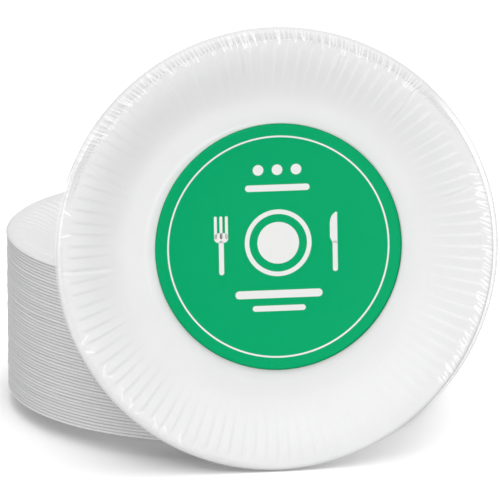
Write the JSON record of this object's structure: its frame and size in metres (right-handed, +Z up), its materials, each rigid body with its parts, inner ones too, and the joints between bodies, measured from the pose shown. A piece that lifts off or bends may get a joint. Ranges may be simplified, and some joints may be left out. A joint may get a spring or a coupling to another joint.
{
  "type": "stack of paper plates",
  "caption": "Round white paper plates with fluted walls, nested in a tall stack, with a film-wrapped, labelled plate leaning on its front; they hold dry food.",
  "frame": {"origin": "middle of the stack's foot, on the surface it stands on", "axes": "+Z up along the axis of the stack, -Y towards the front, where the wrapped plate leans"},
  "size_m": [0.262, 0.2579, 0.2325],
  "materials": {
    "plate_paper": "white uncoated paperboard, matt",
    "label_card": "green printed card, satin",
    "film_wrap": "clear shrink film, glossy"
  },
  "bodies": {
    "root": {"plate_01": "plate_paper", "plate_02": "plate_paper", "plate_03": "plate_paper", "plate_04": "plate_paper", "plate_05": "plate_paper", "plate_06": "plate_paper", "plate_07": "plate_paper", "plate_08": "plate_paper", "plate_09": "plate_paper", "plate_10": "plate_paper", "plate_11": "plate_paper", "plate_12": "plate_paper", "plate_13": "plate_paper", "plate_14": "plate_paper", "plate_15": "plate_paper", "plate_16": "plate_paper", "plate_17": "plate_paper", "plate_18": "plate_paper", "plate_19": "plate_paper", "plate_20": "plate_paper", "plate_21": "plate_paper", "plate_22": "plate_paper", "plate_23": "plate_paper", "plate_24": "plate_paper", "plate_25": "plate_paper", "plate_26": "plate_paper", "plate_27": "plate_paper", "plate_28": "plate_paper", "plate_29": "plate_paper", "plate_30": "plate_paper", "plate_31": "plate_paper", "plate_32": "plate_paper", "plate_33": "plate_paper", "plate_34": "plate_paper", "plate_35": "plate_paper", "plate_36": "plate_paper", "plate_37": "plate_paper", "plate_38": "plate_paper", "plate_39": "plate_paper", "plate_40": "plate_paper", "plate_41": "plate_paper", "plate_42": "plate_paper", "plate_43": "plate_paper", "plate_44": "plate_paper", "plate_45": "plate_paper", "plate_46": "plate_paper", "plate_47": "plate_paper", "plate_48": "plate_paper", "plate_49": "plate_paper", "plate_50": "plate_paper", "plate_51": "plate_paper", "leaning_plate": "plate_paper", "label_card": "label_card", "film_wrap": "film_wrap"}
  },
  "joints": []
}
